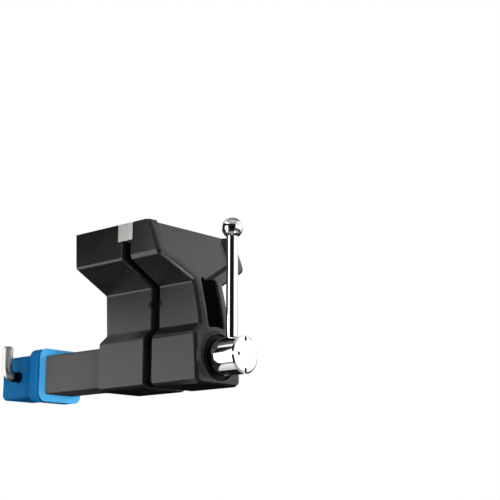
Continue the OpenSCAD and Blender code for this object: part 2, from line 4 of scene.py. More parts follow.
import bmesh
import bpy
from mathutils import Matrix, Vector


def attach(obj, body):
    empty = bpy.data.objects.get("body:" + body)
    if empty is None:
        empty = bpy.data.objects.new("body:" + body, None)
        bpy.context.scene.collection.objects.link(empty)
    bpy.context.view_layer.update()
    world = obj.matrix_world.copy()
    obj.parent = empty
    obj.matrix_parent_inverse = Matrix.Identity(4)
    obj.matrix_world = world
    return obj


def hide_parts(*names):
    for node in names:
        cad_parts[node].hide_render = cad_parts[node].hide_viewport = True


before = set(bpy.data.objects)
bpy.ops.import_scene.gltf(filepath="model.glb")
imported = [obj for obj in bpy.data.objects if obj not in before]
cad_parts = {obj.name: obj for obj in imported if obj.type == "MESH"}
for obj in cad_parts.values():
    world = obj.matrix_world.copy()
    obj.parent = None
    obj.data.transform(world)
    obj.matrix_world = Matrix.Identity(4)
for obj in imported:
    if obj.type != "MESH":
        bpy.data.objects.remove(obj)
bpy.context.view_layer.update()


# Shared sizes in millimetres; places along Y count from the plane where the jaws meet

MM = 0.001
# Place of that plane in the part's frame
MEET_Y = -296.0
# Half widths and heights of both castings
JAW_HALF = 76.2
NECK_HALF = 26.0
BASE_HALF = 38.0
JAW_TOP = 163.0
JAW_LOW = 119.0
NECK_TOP = 91.0
BASE_TOP = 39.0
BASE_SIDE_TOP = 28.0
BASE_SIDE_LOW = -25.5
BASE_LOW = -32.5
# Half of the gap between them
GAP_HALF = 7.3
# Lower edge and thickness of the jaw plates
PLATE_LOW = 141.5
REAR_PLATE = 15.0
FRONT_PLATE = 10.5
# Half of the square space that the slide beam runs in
BEAM_HALF = 19.1
SHANK_WIDTH = 50.8
# Places along Y of the hitch pin and of the receiver's mouth
PIN_Y = 262.0
MOUTH_Y = 208.0
# Slight rounding of turned and sawn ends
END_ROUND = 0.8
# Reach of cutters past the sides and the top of the jaws, the rear casting's back and the receiver's end
PAST_SIDE = 90.0
PAST_TOP = 180.0
PAST_BACK = 120.0
PAST_END = 310.0


# Measuring and picking

# Places of two axes in a vector
Y, Z = 1, 2
# Tolerance of picking by place, in millimetres
CLOSE = 0.05
# Angles between faces that are still smooth, and still flat
SMOOTH_ANGLE = math.radians(32)
FLAT_ANGLE = math.radians(1)


def at(x, y, z):
    """A point in metres of the part's frame, from millimetres counted from the jaws' meeting plane."""
    return Vector((x, y + MEET_Y, z)) * MM


def place(vertex):
    """Where a vertex is, in millimetres counted from the jaws' meeting plane."""
    x, y, z = vertex.co / MM
    return Vector((x, y - MEET_Y, z))


def middle(part):
    """Middle of an edge or a face, in millimetres counted from the jaws' meeting plane."""
    return sum((place(v) for v in part.verts), Vector()) / len(part.verts)


def runs_along_y(edge):
    """True if an edge lies along Y."""
    way = (edge.verts[1].co - edge.verts[0].co).normalized()
    return abs(way.y) > 0.999


def looks(axis, side):
    """Test for faces that look along an axis to one side."""
    return lambda face: side * face.normal[axis] > 0.9


def rim(edge, side):
    """True if an edge bounds the face that looks along Y to one side."""
    if len(edge.link_faces) != 2:
        return False
    toward, away = sorted((side * f.normal.y for f in edge.link_faces), reverse=True)
    return toward > 0.5 and away < 0.3


def take(piece):
    """Makes a piece the only selected object, and the active one."""
    bpy.ops.object.select_all(action="DESELECT")
    piece.select_set(True)
    bpy.context.view_layer.objects.active = piece


def edit(piece):
    take(piece)
    bpy.ops.object.mode_set(mode="EDIT")


def leave():
    bpy.ops.object.mode_set(mode="OBJECT")


def pick(piece, kind, test):
    """In edit mode, selects only the verts, edges or faces that pass a test."""
    bpy.ops.mesh.select_mode(type={"verts": "VERT", "edges": "EDGE", "faces": "FACE"}[kind])
    bpy.ops.mesh.select_all(action="DESELECT")
    mesh = bmesh.from_edit_mesh(piece.data)
    for part in getattr(mesh, kind):
        if test(part):
            part.select_set(True)
    mesh.select_flush_mode()
    bmesh.update_edit_mesh(piece.data)


def pick_all():
    bpy.ops.mesh.select_all(action="SELECT")


def shift(piece, where):
    """In edit mode, moves every vertex to where a function of its place says."""
    mesh = bmesh.from_edit_mesh(piece.data)
    for vertex in mesh.verts:
        vertex.co = at(*where(place(vertex)))
    mesh.normal_update()
    bmesh.update_edit_mesh(piece.data)


# Starting and shaping pieces

# Profile of an edge that is rounded to an arc
ROUND_PROFILE = 0.5


def named(name):
    """Names the newest object, and puts its place, turn and size into its mesh."""
    piece = bpy.context.object
    piece.name = name
    piece.data.name = name
    bpy.ops.object.transform_apply(location=True, rotation=True, scale=True)
    return piece


def block(name, low, high):
    """Starts a piece as a block between two corners."""
    bpy.ops.object.select_all(action="DESELECT")
    a, b = at(*low), at(*high)
    bpy.ops.mesh.primitive_cube_add(size=1, location=(a + b) / 2)
    bpy.context.object.scale = b - a
    return named(name)


def rod(name, start, end, radius, sides=96):
    """Starts a piece as a round rod between two points."""
    bpy.ops.object.select_all(action="DESELECT")
    a, b = at(*start), at(*end)
    bpy.ops.mesh.primitive_cylinder_add(
        vertices=sides, radius=radius * MM, depth=(b - a).length, location=(a + b) / 2,
        rotation=(b - a).to_track_quat("Z", "Y").to_euler())
    return named(name)


def extrude(move):
    bpy.ops.mesh.extrude_region_move(TRANSFORM_OT_translate={"value": Vector(move) * MM})


def widen(x=1.0, y=1.0, z=1.0, about=(0, 0, 0)):
    bpy.ops.transform.resize(value=(x, y, z), center_override=at(*about))


def round_off(width, steps, profile=ROUND_PROFILE):
    """Rounds the selected edges, each side by a width; a lower profile leaves them flatter."""
    bpy.ops.mesh.bevel(offset=width * MM, segments=steps, profile=profile,
                       affect="EDGES", clamp_overlap=False)


def inset(width, depth):
    bpy.ops.mesh.inset(thickness=width * MM, depth=depth * MM)


def flare(width):
    """Draws the selected face in along a rounded lip, from the surface inward."""
    angles = [math.radians(a) for a in range(14, 91, 19)]
    for a, b in zip(angles, angles[1:]):
        inset(width * (math.sin(b) - math.sin(a)), width * (math.cos(a) - math.cos(b)))


def slice_at(point, normal, keep=None):
    """Cuts the selected part by a plane; keep is None, or the side that stays."""
    bpy.ops.mesh.bisect(plane_co=at(*point), plane_no=normal, use_fill=keep is not None,
                        clear_inner=keep == "outer", clear_outer=keep == "inner")


def combine(piece, tool, operation):
    """Joins a tool to a piece or cuts it out, and removes the tool."""
    modifier = piece.modifiers.new(operation, "BOOLEAN")
    modifier.operation = operation
    modifier.solver = "EXACT"
    modifier.object = tool
    take(piece)
    bpy.ops.object.modifier_apply(modifier=modifier.name)
    bpy.data.meshes.remove(tool.data)


def cut(piece, *tools):
    for tool in tools:
        combine(piece, tool, "DIFFERENCE")


def deliver(piece, body, finish, slot, *nodes):
    """Smooths a finished piece, gives it its finish and sets it on its body."""
    take(piece)
    bpy.ops.object.shade_smooth_by_angle(angle=SMOOTH_ANGLE)
    modifier = piece.modifiers.new("even_normals", "WEIGHTED_NORMAL")
    modifier.keep_sharp = True
    bpy.ops.object.modifier_apply(modifier=modifier.name)
    piece.data.materials.clear()
    piece.data.materials.append(finish)
    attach(piece, body)
    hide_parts(*nodes)


# Finishes

class Wire:
    """An output in a node tree. Sums on it add Math nodes to the tree."""

    def __init__(self, nodes, socket):
        self.nodes = nodes
        self.socket = socket

    def sum(self, operation, first, second):
        return self.nodes.add("Math", {"operation": operation}, {0: first, 1: second})

    def __add__(self, other):
        return self.sum("ADD", self, other)

    def __radd__(self, other):
        return self.sum("ADD", other, self)

    def __sub__(self, other):
        return self.sum("SUBTRACT", self, other)

    def __rsub__(self, other):
        return self.sum("SUBTRACT", other, self)

    def __mul__(self, other):
        return self.sum("MULTIPLY", self, other)

    def __rmul__(self, other):
        return self.sum("MULTIPLY", other, self)


class Nodes:
    """A node tree that is filled one node at a time."""

    def __init__(self, tree):
        self.tree = tree

    def feed(self, socket, value):
        if isinstance(value, Wire):
            self.tree.links.new(value.socket, socket)
        else:
            socket.default_value = value

    def add(self, kind, settings, sockets, output=0):
        """Adds a node: its type, its settings, then the values or links of its sockets."""
        node = self.tree.nodes.new("ShaderNode" + kind)
        for name, value in settings.items():
            setattr(node, name, value)
        for name, value in sockets.items():
            self.feed(node.inputs[name], value)
        return Wire(self, node.outputs[output])

    def noise(self, where, scale, detail):
        return self.add("TexNoise", {}, {"Vector": where, "Scale": scale, "Detail": detail})

    def ramp(self, factor, low, high):
        """Goes from 0 to 1 as the factor goes from low to high."""
        return self.add("MapRange", {"interpolation_type": "SMOOTHSTEP"},
                        {"Value": factor, "From Min": low, "From Max": high})

    def band(self, factor, low, start, end, high):
        """1 between start and end, fading to 0 at low and high."""
        return self.ramp(factor, low, start) * (1 - self.ramp(factor, end, high))

    def blend(self, factor, first, second):
        """A colour between two colours."""
        return self.add("Mix", {"data_type": "RGBA"}, {0: factor, 6: first, 7: second}, 2)

    def bump(self, height, strength, distance):
        return self.add("Bump", {}, {"Strength": strength, "Distance": distance * MM, "Height": height})


class Finish(Nodes):
    """A material, its node tree and its surface shader."""

    def __init__(self, name):
        self.material = bpy.data.materials.new(name)
        self.material.use_nodes = True
        super().__init__(self.material.node_tree)
        self.shader = self.tree.nodes["Principled BSDF"]
        self.where = self.add("TexCoord", {}, {}, "Object")

    def surface(self, sockets):
        for name, value in sockets.items():
            self.feed(self.shader.inputs[name], value)
        return self.material

    def along(self, axis):
        """Place on the piece along one axis."""
        return self.add("SeparateXYZ", {}, {0: self.where}, axis)

    def stretched(self, x, y, z):
        """Place on the piece, stretched along the axes, for grain that runs one way."""
        return self.add("Mapping", {}, {"Vector": self.where, "Scale": (x, y, z)})


def grey(value):
    return (value, value, value, 1.0)


def powder_coat(name, dark, light, roughness, gloss=0.5):
    """Fine-grained black coat of the castings and the shank."""
    coat = Finish(name)
    coat.surface({"Specular IOR Level": gloss})
    grain = coat.noise(coat.where, scale=620, detail=3)
    specks = coat.ramp(coat.noise(coat.where, scale=430, detail=2), low=0.42, high=0.68)
    cloud = coat.noise(coat.where, scale=26, detail=2)
    return coat.surface({
        "Base Color": coat.blend(specks * 0.75 + cloud * 0.25, grey(dark), grey(light)),
        "Roughness": roughness - 0.1 * grain + 0.08 * cloud,
        "Normal": coat.bump(grain, strength=0.5, distance=0.25),
    })


def brushed_steel(name, colour, roughness, scale, painted_shade=None):
    """Ground steel with fine lines along one axis; it may carry painted shade, near black over a range along
    X, for a shaft that lies in shadow.
    """
    steel = Finish(name)
    lines = steel.noise(steel.stretched(*scale), scale=1, detail=3)
    cloud = steel.noise(steel.where, scale=40, detail=2)
    darker = tuple(0.78 * c for c in colour[:3]) + (1.0,)
    tone = steel.blend(lines * 0.8 + cloud * 0.2, darker, colour)
    if painted_shade:
        # Painted shade: the steel turns near black over the range, where the shaft lies in shadow
        shade_mask = steel.band(steel.along("X"), *(x * MM for x in painted_shade))
        tone = steel.blend(shade_mask, tone, grey(0.02))
    return steel.surface({
        "Metallic": 1.0,
        "Base Color": tone,
        "Roughness": roughness + 0.16 * lines - 0.08 * cloud,
        "Normal": steel.bump(lines, strength=0.12, distance=0.1),
    })


def bright_chrome(name):
    """Polished plating with faint smears."""
    chrome = Finish(name)
    smear = chrome.noise(chrome.where, scale=55, detail=3)
    return chrome.surface({
        "Metallic": 1.0,
        "Base Color": chrome.blend(smear, grey(0.86), grey(0.93)),
        "Roughness": 0.05 + 0.05 * smear,
    })


def painted(name, dark, light, edge, end):
    """Smooth paint over steel, with slight orange peel; painted light at the end of the piece along Y, where
    a paler colour stands in for light on the receiver's mouth.
    """
    paint = Finish(name)
    paint.surface({"Specular IOR Level": 0.02})
    peel = paint.noise(paint.where, scale=240, detail=2)
    cloud = paint.noise(paint.where, scale=30, detail=2)
    # Painted light: the paint turns paler towards the end along Y, standing in for light on the mouth's face
    lit_mouth = 1 - paint.ramp(paint.along("Y"), end + 1.2 * MM, end + 3.2 * MM)
    return paint.surface({
        "Base Color": paint.blend(lit_mouth, paint.blend(cloud, dark, light), edge),
        "Roughness": 0.32 + 0.1 * peel,
        "Normal": paint.bump(peel, strength=0.12, distance=0.15),
    })


def dark_metal(name, dark, light, roughness):
    """Black oxide on small steel pieces."""
    oxide = Finish(name)
    cloud = oxide.noise(oxide.where, scale=180, detail=3)
    return oxide.surface({
        "Metallic": 0.6,
        "Base Color": oxide.blend(cloud, grey(dark), grey(light)),
        "Roughness": roughness + 0.15 * cloud,
        "Normal": oxide.bump(cloud, strength=0.15, distance=0.1),
    })


JAW_COLOUR = (0.68, 0.67, 0.645, 1)
STEEL_COLOUR = (0.42, 0.42, 0.43, 1)
BRONZE_COLOUR = (0.62, 0.42, 0.17, 1)
ZINC_COLOUR = (0.6, 0.6, 0.59, 1)
DARK_BLUE = (0.004, 0.15, 0.4, 1)
LIGHT_BLUE = (0.006, 0.18, 0.47, 1)
# Paler blue painted on the receiver's mouth face as the light that falls on it
LIT_MOUTH_BLUE = (0.057, 0.31, 0.6, 1)
ZINC_GRAIN = (60, 60, 60)
# Where the painted shade on the pin's shaft sets in, is full, fades and ends along X; it stands in for the
# shadow the shaft lies in
PIN_SHADE = (-44, -40, 29, 32)

CASTING_COAT = powder_coat("casting_coat", dark=0.004, light=0.012, roughness=0.32)
SHANK_COAT = powder_coat("shank_coat", dark=0.07, light=0.098, roughness=0.4, gloss=0.2)
JAW_STEEL = brushed_steel("ground_jaw_steel", JAW_COLOUR, roughness=0.46, scale=(1500, 1500, 60))
BARE_STEEL = brushed_steel("bare_steel", STEEL_COLOUR, roughness=0.36, scale=(900, 60, 900))
BRONZE = brushed_steel("bearing_bronze", BRONZE_COLOUR, roughness=0.34, scale=(800, 90, 800))
CHROME = bright_chrome("bright_chrome")
ZINC = brushed_steel("zinc_plate", ZINC_COLOUR, roughness=0.3, scale=ZINC_GRAIN)
# The pin's shaft gets painted shade, near black where it lies in shadow by and inside the receiver
PIN_ZINC = brushed_steel("pin_zinc_painted_shade", ZINC_COLOUR, roughness=0.3, scale=ZINC_GRAIN, painted_shade=PIN_SHADE)
BLUE_PAINT = painted("blue_paint", DARK_BLUE, LIGHT_BLUE, edge=LIT_MOUTH_BLUE, end=at(0, MOUTH_Y, 0).y)
DARK_INSERT = dark_metal("dark_insert", dark=0.002, light=0.006, roughness=0.55)
FASTENER = dark_metal("dark_fastener", dark=0.03, light=0.06, roughness=0.35)


# Castings

# Height and half width at each level of the outline, from the base's side up and down
UPPER_LEVELS = ((BASE_SIDE_TOP, BASE_HALF), (BASE_TOP, NECK_HALF), (NECK_TOP, NECK_HALF),
                (JAW_LOW, JAW_HALF), (JAW_TOP, JAW_HALF))
LOWER_LEVELS = ((BASE_SIDE_LOW, BASE_HALF), (-29.0, 36.25), (BASE_LOW, 31.0))
SLOPE = (JAW_LOW - NECK_TOP) / (JAW_HALF - NECK_HALF)
NECK_ROUND = 1.8
FOOT_ROUND = 1.3
# Rims wider than this are rounded flatter
WIDE_RIM = 3.0
WIDE_RIM_PROFILE = 0.34

BASE_FRONT = -83.5
BOW_R = 436.0
# Heights where the bowed front is divided, clear of the outline's corners
BOW_STEPS = (*range(-20, 23, 6), 34, *range(45, 82, 6), 86, *range(97, 110, 6), *range(129, 154, 6), 158)
# How far the middle of the front stands out from its border, and how wide the border is
CROWN = 0.95
BORDER = 9.0
# Corners of the raised middle that are merged, each with the length it is moved down
BORDER_CORNERS = ((67.2, 124.3, 0), (29, 24, 0), (29, -23, 5))
CORNER_REACH = 7.0

REAR_END = 88.0
# How much further back the rear casting's top is
REAR_LEAN = 6.5

# Where cutters of the front start, in front of its surface
AHEAD = -14.0
# Marks the deep end of a cutter while its mouth is still flat
DEEP = 60.0

PANEL_HALF = 61.7
PANEL_TIP = 93.1
PANEL_CORNER = 5.0
# Width and depth of the panel's lip, its sloped side and its foot
PANEL_STEPS = ((0.5, 0.25), (2.6, 5.6), (0.5, 0.15))

POCKET_HALF = 11.7
POCKET_TOP = 96.0
POCKET_ARCH_R = 38.5
POCKET_LIP = 3.0
POCKET_CORNER = 6.0
# Width of the strips that follow the arch at the pocket's lower end
POCKET_STRIP = 2.5
POCKET_FLOOR = -35.3

# How far the boss round the spindle stands out of the front
BOSS = 2.2
BOSS_R = 36.0
# Where the boss starts inside the casting, and where its flank starts
BOSS_ROOT = 6.0
BOSS_FOOT = 0.9
# Step outward and radius of each ring of the boss's hollow flank
BOSS_FLANK = ((0.35, 35.0), (0.3, 33.6), (0.5, 32.2), (0.8, 30.9), (BOSS - 1.05, 29.8))
# Height where the boss starts to fade out, the slope of that, and the height where it ends
BOSS_FADE = -9.0
BOSS_FADE_SLOPE = 0.17
BOSS_LOW = -25.0

RECESS_R = 27.9
RECESS_LIP = 0.9
RECESS_FLOOR = -78.0
BUSH_BORE_R = 14.05
BUSH_BORE_START = -90.0
BUSH_BORE_END = -50.0
BEAM_BORE_END = -58.0

# Depth of the steps for the plates, along Y
FRONT_SEAT = -FRONT_PLATE - 0.1
REAR_SEAT = REAR_PLATE + 0.2
# Steps round the ends of the front plate: inner end, depth and height
RELIEF_X = 72.0
RELIEF_Y = -11.9
RELIEF_LOW = 140.6
PIPE_SLOT_LOW = 66.75
PIPE_SLOT_TOP = 74.25
PIPE_SLOT_DEPTH = 11.8
BEAM_SCREW_X = 15.75
BEAM_SCREWS_Y = (-15.3, -31.3)
NUT_SCREWS_Y = (20.3, 42.3)


def bow(z):
    """Where the bowed front face lies along Y at a height."""
    return BASE_FRONT + BOW_R - math.sqrt(BOW_R ** 2 - (z - BASE_LOW) ** 2)


def pull(levels):
    """In edit mode, pulls the selected face from level to level of the outline."""
    for (low, half), (high, new_half) in zip(levels, levels[1:]):
        extrude((0, 0, high - low))
        widen(x=new_half / half)


def crown(piece, front):
    """In edit mode, raises the middle of the front a little over a sloped border."""
    pick(piece, "faces", looks(Y, -1))
    inset(BORDER, CROWN)
    for x, z, drop in BORDER_CORNERS:
        for side in (-1, 1):
            corner = (side * x, z)
            pick(piece, "verts", lambda v: (place(v).y < front - CROWN / 2
                                            and math.dist(place(v).xz, corner) < CORNER_REACH))
            bpy.ops.mesh.merge(type="CENTER")
            if drop:
                bpy.ops.transform.translate(value=(0, 0, -drop * MM))


def casting(name, front, back, jaw_round, shoulder_round, front_rim, back_rim):
    """Jaw, neck and base in one outline, pulled up from a block for the base."""
    piece = block(name, (-BASE_HALF, front, BASE_SIDE_LOW), (BASE_HALF, back, BASE_SIDE_TOP))
    edit(piece)
    pick(piece, "faces", looks(Z, 1))
    pull(UPPER_LEVELS)
    pick(piece, "faces", looks(Z, -1))
    pull(LOWER_LEVELS)
    pick_all()
    bpy.ops.mesh.dissolve_limited(angle_limit=FLAT_ANGLE)
    for z, width in ((JAW_LOW, jaw_round), (NECK_TOP, NECK_ROUND),
                     (BASE_TOP, FOOT_ROUND), (BASE_SIDE_TOP, shoulder_round)):
        pick(piece, "edges", lambda e: runs_along_y(e) and abs(middle(e).z - z) < CLOSE)
        round_off(width, steps=5)
    if front < 0:
        crown(piece, front)
    for side, width in ((-1, front_rim), (1, back_rim)):
        pick(piece, "edges", lambda e: rim(e, side) and middle(e).z < JAW_TOP - CLOSE)
        round_off(width, steps=8, profile=WIDE_RIM_PROFILE if width > WIDE_RIM else ROUND_PROFILE)
    return piece


def bow_slices(piece, reach=math.inf):
    """In edit mode, divides what lies in front of a place along Y at the heights of the bow."""
    for z in BOW_STEPS:
        pick(piece, "faces", lambda f: all(place(v).y < reach for v in f.verts))
        slice_at((0, 0, z), (0, 0, 1))


def sink(piece, floor):
    """In edit mode, bends a cutter's mouth along the crowned bow and sets its deep end at a floor."""
    shift(piece, lambda p: (p.x, floor if p.y > DEEP / 2 else p.y + bow(p.z) - CROWN, p.z))


def panel_cutter():
    """Shield sunk in the front, bare, with sloped sides and open at the top."""
    below, above = 60, 172
    piece = block("panel", (-PANEL_HALF, AHEAD, below), (PANEL_HALF, 0, above))
    edit(piece)
    for side in (-1, 1):
        pick_all()
        slice_at((0, 0, PANEL_TIP), (side * SLOPE, 0, -1), keep="inner")
    pick(piece, "edges", lambda e: (runs_along_y(e) and abs(middle(e).x) > PANEL_HALF - 1
                                    and middle(e).z < JAW_TOP))
    round_off(PANEL_CORNER, steps=5)
    pick(piece, "faces", looks(Y, 1))
    for width, depth in PANEL_STEPS:
        inset(width, depth)
    bow_slices(piece)
    shift(piece, lambda p: (p.x, p.y + bow(p.z), p.z))
    leave()
    return piece


def pocket_cutter():
    """Space between the two ribs of the neck, over the arched boss."""
    half = POCKET_HALF + POCKET_LIP
    arch = POCKET_ARCH_R - POCKET_LIP
    low, high = 33, POCKET_TOP + POCKET_LIP
    halfway = 60
    piece = block("pocket", (-half, AHEAD, low), (half, 0, high))
    edit(piece)
    for step in range(-3, 4):
        pick_all()
        slice_at((POCKET_STRIP * step, 0, 0), (1, 0, 0))
    shift(piece, lambda p: (p.x, p.y, p.z if p.z > halfway else math.sqrt(arch ** 2 - p.x ** 2)))
    pick(piece, "edges", lambda e: runs_along_y(e) and abs(middle(e).x) > half - 0.1)
    round_off(POCKET_CORNER, steps=5)
    pick(piece, "faces", looks(Y, 1))
    flare(POCKET_LIP)
    extrude((0, DEEP, 0))
    bow_slices(piece)
    sink(piece, POCKET_FLOOR)
    leave()
    return piece


def spindle_boss():
    """Swelling of the front round the spindle, with a hollow flank that fades out below."""
    radius = BOSS_R
    piece = rod("boss", (0, BOSS_ROOT, 0), (0, BOSS_FOOT, 0), radius, sides=128)
    edit(piece)
    pick(piece, "faces", looks(Y, -1))
    for step, smaller in BOSS_FLANK:
        extrude((0, -step, 0))
        widen(x=smaller / radius, z=smaller / radius)
        radius = smaller
    pick_all()
    slice_at((0, -BOSS, BOSS_FADE), (0, -1, -BOSS_FADE_SLOPE), keep="inner")
    pick_all()
    slice_at((0, 0, BOSS_LOW), (0, 0, -1), keep="inner")
    shift(piece, lambda p: (p.x, p.y + bow(p.z) - CROWN, p.z))
    leave()
    return piece


def recess_cutter():
    """Round recess that the spindle head stands in."""
    piece = rod("recess", (0, AHEAD, 0), (0, -BOSS - 0.1, 0), RECESS_R + RECESS_LIP, sides=128)
    edit(piece)
    pick(piece, "faces", looks(Y, 1))
    flare(RECESS_LIP)
    extrude((0, DEEP, 0))
    bow_slices(piece, DEEP / 2)
    sink(piece, RECESS_FLOOR)
    leave()
    return piece


def screw_sink(x, y, radius, depth):
    """Sunk seat for a screw head in a base's underside."""
    return rod("screw_sink", (x, y, BASE_LOW - 7.5), (x, y, BASE_LOW + depth), radius, sides=48)


def plate_seat(depth):
    """Step in a jaw for its plate."""
    near, far = sorted((0, depth))
    return block("plate_seat", (-PAST_SIDE, near, PLATE_LOW), (PAST_SIDE, far, PAST_TOP))


def end_relief(side):
    """Slight step in the front jaw round an end of its plate."""
    left, right = sorted((side * RELIEF_X, side * PAST_SIDE))
    return block("end_relief", (left, RELIEF_Y, RELIEF_LOW), (right, 0, PAST_TOP))


def pipe_slot(side):
    """Slot across a neck for its pipe jaw."""
    near, far = sorted((0, side * PIPE_SLOT_DEPTH))
    return block("pipe_slot", (-PAST_SIDE, near, PIPE_SLOT_LOW), (PAST_SIDE, far, PIPE_SLOT_TOP))


def make_front_casting():
    piece = casting("front_casting", BASE_FRONT, -GAP_HALF,
                    jaw_round=4.8, shoulder_round=3.0, front_rim=4.0, back_rim=1.2)
    reach = BASE_FRONT + 5
    bow_slices(piece, reach)
    shift(piece, lambda p: (p.x, p.y - BASE_FRONT + bow(p.z) if p.y < reach else p.y, p.z))
    leave()
    combine(piece, spindle_boss(), "UNION")
    cut(piece, panel_cutter(), pocket_cutter(), recess_cutter(),
        rod("bush_bore", (0, BUSH_BORE_START, 0), (0, BUSH_BORE_END, 0), BUSH_BORE_R),
        block("beam_bore", (-BEAM_HALF, BEAM_BORE_END, -BEAM_HALF), (BEAM_HALF, 0, BEAM_HALF)),
        plate_seat(FRONT_SEAT), end_relief(-1), end_relief(1), pipe_slot(-1))
    for x in (-BEAM_SCREW_X, BEAM_SCREW_X):
        for y in BEAM_SCREWS_Y:
            cut(piece, screw_sink(x, y, radius=4.2, depth=3.1))
    deliver(piece, "front_jaw", CASTING_COAT, "black_casting", "front_jaw")


def lean_back(p):
    """Place of a vertex of the rear casting after its back has been leaned."""
    lean = max(0, p.z - BASE_TOP) / (JAW_TOP - BASE_TOP) * REAR_LEAN
    return (p.x, p.y + lean if p.y > REAR_END - 8 else p.y, p.z)


def make_rear_casting():
    piece = casting("rear_casting", GAP_HALF, REAR_END,
                    jaw_round=2.4, shoulder_round=1.3, front_rim=1.2, back_rim=1.0)
    shift(piece, lean_back)
    leave()
    half = SHANK_WIDTH / 2
    cut(piece, block("shank_bore", (-half, 0, -half), (half, PAST_BACK, half)),
        plate_seat(REAR_SEAT), pipe_slot(1))
    for y in NUT_SCREWS_Y:
        cut(piece, screw_sink(0, y, radius=6.2, depth=4.6))
    deliver(piece, "base", CASTING_COAT, "black_casting", "static_jaw")


make_front_casting()
make_rear_casting()


# Jaw plates

PLATE_MIDDLE = (PLATE_LOW + JAW_TOP) / 2
PLATE_SCREW_X = 46.0
# Play between a plate and the plane where the jaws meet
PLATE_PLAY = 0.05
PLATE_EDGE = 0.15
# Radius of a screw's seat, its straight depth, and the depth over which it narrows
SEAT_R = 8.15
SEAT_DEPTH = 2.2
SEAT_CONE = 4.0
# Share of the seat's radius that the screw's hole has, and the hole's depth
HOLE_SHARE = 0.51
HOLE_DEPTH = 14.0


def plate_hole(x, side):
    """Seat of a flat-headed screw in a jaw plate's working face."""
    outside = (x, side * -2, PLATE_MIDDLE)
    inside = (x, side * SEAT_DEPTH, PLATE_MIDDLE)
    piece = rod("plate_hole", outside, inside, SEAT_R, sides=48)
    edit(piece)
    pick(piece, "faces", looks(Y, side))
    extrude((0, side * SEAT_CONE, 0))
    widen(x=HOLE_SHARE, z=HOLE_SHARE, about=(x, 0, PLATE_MIDDLE))
    extrude((0, side * HOLE_DEPTH, 0))
    leave()
    return piece


def make_jaw_plate(name, side, thick, body, node):
    near, far = sorted((side * PLATE_PLAY, side * (PLATE_PLAY + thick)))
    piece = block(name, (-JAW_HALF, near, PLATE_LOW), (JAW_HALF, far, JAW_TOP))
    edit(piece)
    pick_all()
    round_off(PLATE_EDGE, steps=2)
    leave()
    cut(piece, plate_hole(-PLATE_SCREW_X, side), plate_hole(PLATE_SCREW_X, side))
    deliver(piece, body, JAW_STEEL, "jaw_steel", node)


make_jaw_plate("rear_plate", 1, REAR_PLATE, "base", "rear_jaw_plate")
make_jaw_plate("front_plate", -1, FRONT_PLATE, "front_jaw", "front_jaw_plate")


# Shank and receiver

SHANK_END = 289.0
SHANK_CORNER = 3.0
RECEIVER_END = -MEET_Y
TUBE_Y = MOUTH_Y + 7.5
# Where the cutters of the receiver's bores start, in front of its mouth
BORE_Y = MOUTH_Y - 8
# Width and corner radius of the receiver's tube, its bore, its mouth and the band behind the mouth
TUBE = (58.0, 7.0)
TUBE_BORE = (51.6, 3.8)
MOUTH = (71.0, 11.0)
BAND = (69.8, 10.4)
MOUTH_DEPTH = 9.0
MOUTH_TAPER = 0.93
BAND_END = MOUTH_Y + 26


def square_bar(name, start, end, width, corner):
    """Square bar along Y with rounded corners."""
    half = width / 2
    piece = block(name, (-half, start, -half), (half, end, half))
    edit(piece)
    pick(piece, "edges", runs_along_y)
    round_off(corner, steps=8)
    leave()
    return piece


def soften(piece, side, width, steps):
    """Rounds the rim of the end of a bar that looks along Y to one side."""
    edit(piece)
    pick(piece, "edges", lambda e: rim(e, side))
    round_off(width, steps)
    leave()


def cross_hole(reach, radius):
    """Hole for the hitch pin, across the shank or the receiver."""
    return rod("pin_hole", (-reach, PIN_Y, 0), (reach, PIN_Y, 0), radius, sides=48)


def make_shank():
    piece = square_bar("square_shank", GAP_HALF, SHANK_END, SHANK_WIDTH, SHANK_CORNER)
    cut(piece, block("shank_bore", (-BEAM_HALF, 0, -BEAM_HALF), (BEAM_HALF, PAST_END, BEAM_HALF)))
    soften(piece, 1, END_ROUND, steps=2)
    cut(piece, cross_hole(reach=40, radius=7.3))
    deliver(piece, "base", SHANK_COAT, "black_shank", "hitch_shank")


def make_receiver():
    tube = square_bar("receiver_sleeve", TUBE_Y, RECEIVER_END, *TUBE)
    soften(tube, 1, width=1, steps=3)
    cut(tube, square_bar("tube_bore", BORE_Y, PAST_END, *TUBE_BORE), cross_hole(reach=60, radius=7.6))
    deliver(tube, "base", BLUE_PAINT, "blue_receiver", "receiver_tube")
    lip = square_bar("receiver_mouth", MOUTH_Y, MOUTH_Y + MOUTH_DEPTH, *MOUTH)
    edit(lip)
    pick(lip, "faces", looks(Y, 1))
    widen(x=MOUTH_TAPER, z=MOUTH_TAPER, about=(0, MOUTH_Y, 0))
    leave()
    soften(lip, -1, width=1.2, steps=4)
    band = square_bar("mouth_band", TUBE_Y, BAND_END, *BAND)
    soften(band, 1, width=4.5, steps=7)
    soften(band, -1, width=3, steps=6)
    combine(lip, band, "UNION")
    cut(lip, square_bar("mouth_bore", BORE_Y, MOUTH_Y + MOUTH_DEPTH, *TUBE_BORE),
        square_bar("tube_seat", TUBE_Y, BAND_END + 6, *TUBE))
    deliver(lip, "base", BLUE_PAINT, "blue_receiver", "receiver_collar")
    # Black coat beside it stays clear of a blue cast
    lip.visible_glossy = False


make_shank()
make_receiver()


# Spindle head and handle

HEAD_R = 22.5
HEAD_FACE = -125.0
HEAD_BACK = -81.0
CHAMFER_WIDTH = 2.2
CHAMFER_DEPTH = 1.5
SLOT_HALF = 2.0
SLOT_DEPTH = 1.6
# Where the slots of the face end, outward and, for the two pairs, inward
SLOT_OUTER = 30.0
SLOT_INNER = (11.5, 17.5)

BAR_Y = -103.4
BAR_R = 7.0
BAR_LOW = -17.0
BAR_TOP = 146.0
BAR_HOLE_R = 7.05
